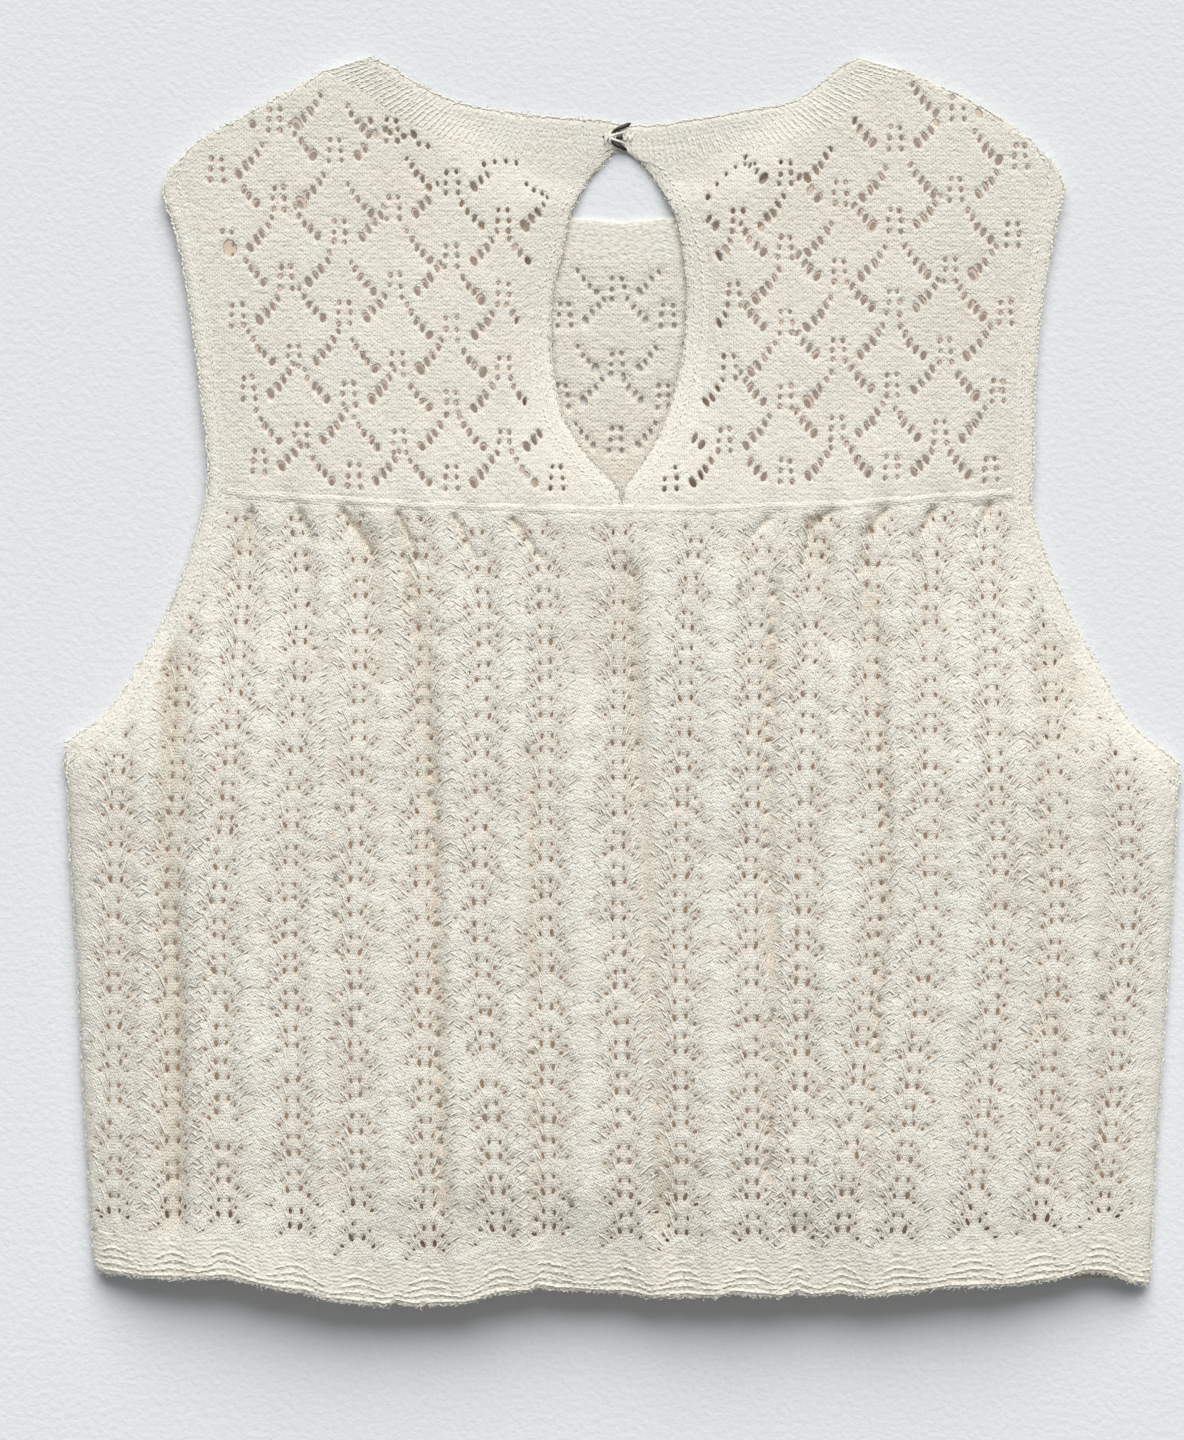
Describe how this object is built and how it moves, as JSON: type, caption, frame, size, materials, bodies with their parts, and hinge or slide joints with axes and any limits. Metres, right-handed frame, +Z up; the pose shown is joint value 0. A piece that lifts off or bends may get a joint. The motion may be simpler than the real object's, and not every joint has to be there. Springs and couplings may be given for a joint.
{
  "type": "knit crop top",
  "caption": "Sleeveless cream lace knit crop top laid flat back up: yoke with a keyhole closed by a hook and eye, gathered lace body, wavy hem.",
  "frame": {"origin": "middle of the garment as laid, on the surface it lies on", "axes": "+Z up off the surface, +Y from the hem to the neck, +X to the right of a viewer who looks down at the back"},
  "size_m": [0.4266, 0.4787, 0.0278],
  "materials": {
    "knit_lace": "cream cotton lace knit, matt and slightly fuzzy",
    "knit_plain": "cream cotton stocking stitch, matt and slightly fuzzy",
    "knit_rib": "cream cotton rib, matt",
    "knit_garter": "cream cotton garter stitch in wavy ridges, matt",
    "knit_underneath": "the same cotton knit on the layer underneath, in shade",
    "dark_metal": "dark enamelled wire"
  },
  "bodies": {
    "root": {"back_armhole_edging_left": "knit_plain", "back_armhole_edging_right": "knit_plain", "back_body": "knit_lace", "back_hem": "knit_garter", "back_neckband_left": "knit_rib", "back_neckband_right": "knit_rib", "back_yoke_left": "knit_lace", "back_yoke_right": "knit_lace", "eye": "dark_metal", "front_armhole_edging_left": "knit_underneath", "front_armhole_edging_right": "knit_underneath", "front_body": "knit_underneath", "front_hem": "knit_underneath", "front_neckband": "knit_underneath", "front_yoke": "knit_underneath", "hook": "dark_metal", "keyhole_band_left": "knit_plain", "keyhole_band_right": "knit_plain", "yoke_seam_welt": "knit_plain"}
  },
  "joints": []
}
